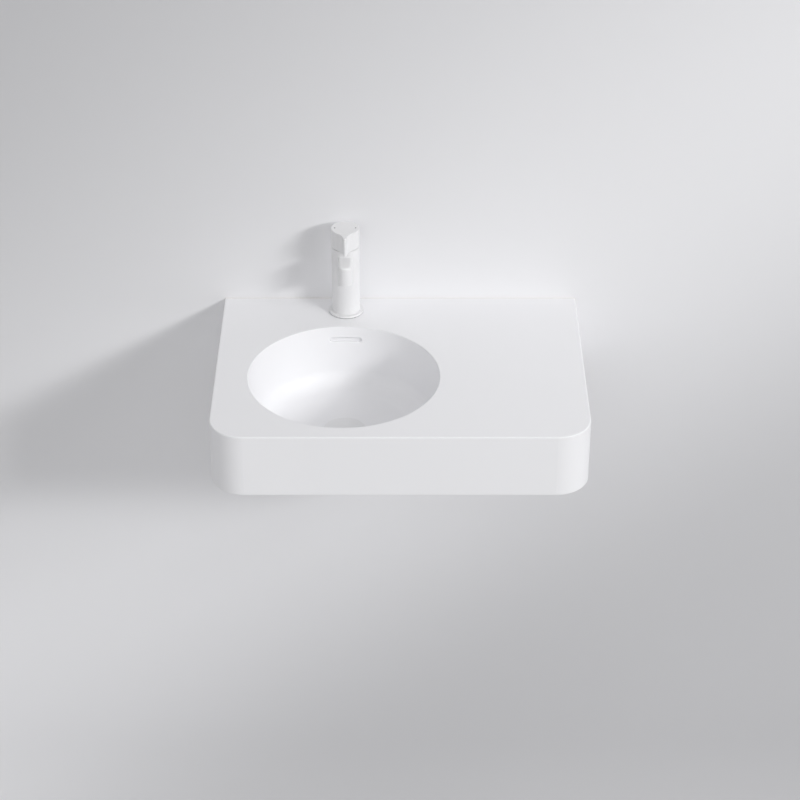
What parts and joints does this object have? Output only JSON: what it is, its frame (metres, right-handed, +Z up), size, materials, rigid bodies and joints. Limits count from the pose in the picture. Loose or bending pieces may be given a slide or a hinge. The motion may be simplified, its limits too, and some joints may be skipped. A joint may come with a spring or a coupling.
{
  "type": "wall-hung basin",
  "caption": "Wall-hung washbasin with an off-centre round bowl, overflow slot, push-open plug and a single-lever tap on the deck.",
  "frame": {"origin": "on the wall plane, midway between the two wall fixings, 60 mm below the basin's top face", "axes": "+X to the right seen from the front, +Y into the wall, +Z up"},
  "size_m": [0.55, 0.4, 0.3165],
  "materials": {
    "matt_white_ceramic": "matt",
    "white_lacquer": "matt lacquer",
    "plated_brass": "polished",
    "brass": "machined",
    "steel": "zinc plated",
    "disc_ceramic": "lapped",
    "grey_plastic": "moulded",
    "black_rubber": "matt",
    "mark_grey": "inlaid"
  },
  "bodies": {
    "basin": {"basin_body": "matt_white_ceramic", "fixing_bush_left": "grey_plastic", "fixing_bush_right": "grey_plastic", "fixing_washer_left": "steel", "fixing_washer_right": "steel", "waste_body": "plated_brass", "waste_gasket": "black_rubber", "under_seal": "black_rubber", "under_washer": "grey_plastic", "backnut": "brass", "click_sleeve": "brass", "click_spring": "steel", "tap_body": "white_lacquer", "base_gasket": "black_rubber", "base_ring": "white_lacquer", "clamp_gasket": "black_rubber", "clamp_washer": "steel", "clamp_stud": "steel", "clamp_nut": "brass", "aerator_housing": "plated_brass", "aerator_insert": "grey_plastic", "aerator_seal": "black_rubber", "cartridge_base_seals": "black_rubber", "cartridge_base": "grey_plastic", "fixed_disc": "disc_ceramic", "cartridge_housing": "grey_plastic", "cartridge_nut": "brass", "cover_ring": "plated_brass"},
    "mixer_rotor": {"rotor": "grey_plastic", "spindle_pin": "steel"},
    "lever": {"handle": "white_lacquer", "spindle": "steel", "handle_screw": "steel", "screw_plug": "white_lacquer", "hot_mark": "mark_grey", "cold_mark": "mark_grey"},
    "mixing_disc": {"moving_disc": "disc_ceramic", "disc_carrier": "grey_plastic"},
    "plug": {"plug_cap": "white_lacquer", "plug_seal": "black_rubber", "plug_stem": "brass"}
  },
  "joints": [
    {"name": "temperature_turn", "type": "hinge", "parent": "basin", "child": "mixer_rotor", "pos_m": [-0.0835, -0.039, 0.161], "axis": [0, 0, 1], "range_deg": [-50, 50]},
    {"name": "flow_tilt", "type": "hinge", "parent": "mixer_rotor", "child": "lever", "pos_m": [-0.0835, -0.039, 0.161], "axis": [-1, 0, 0], "range_deg": [0, 20]},
    {"name": "disc_slide", "type": "slide", "parent": "mixer_rotor", "child": "mixing_disc", "axis": [0, -1, 0], "range_m": [0, 0.0047]},
    {"name": "plug_lift", "type": "slide", "parent": "basin", "child": "plug", "axis": [0, 0, 1], "range_m": [0, 0.008], "deforming": ["click_spring"]}
  ],
  "couplings": [
    {"joint": "disc_slide", "follows": "flow_tilt", "m_per_rad": 0.013}
  ]
}
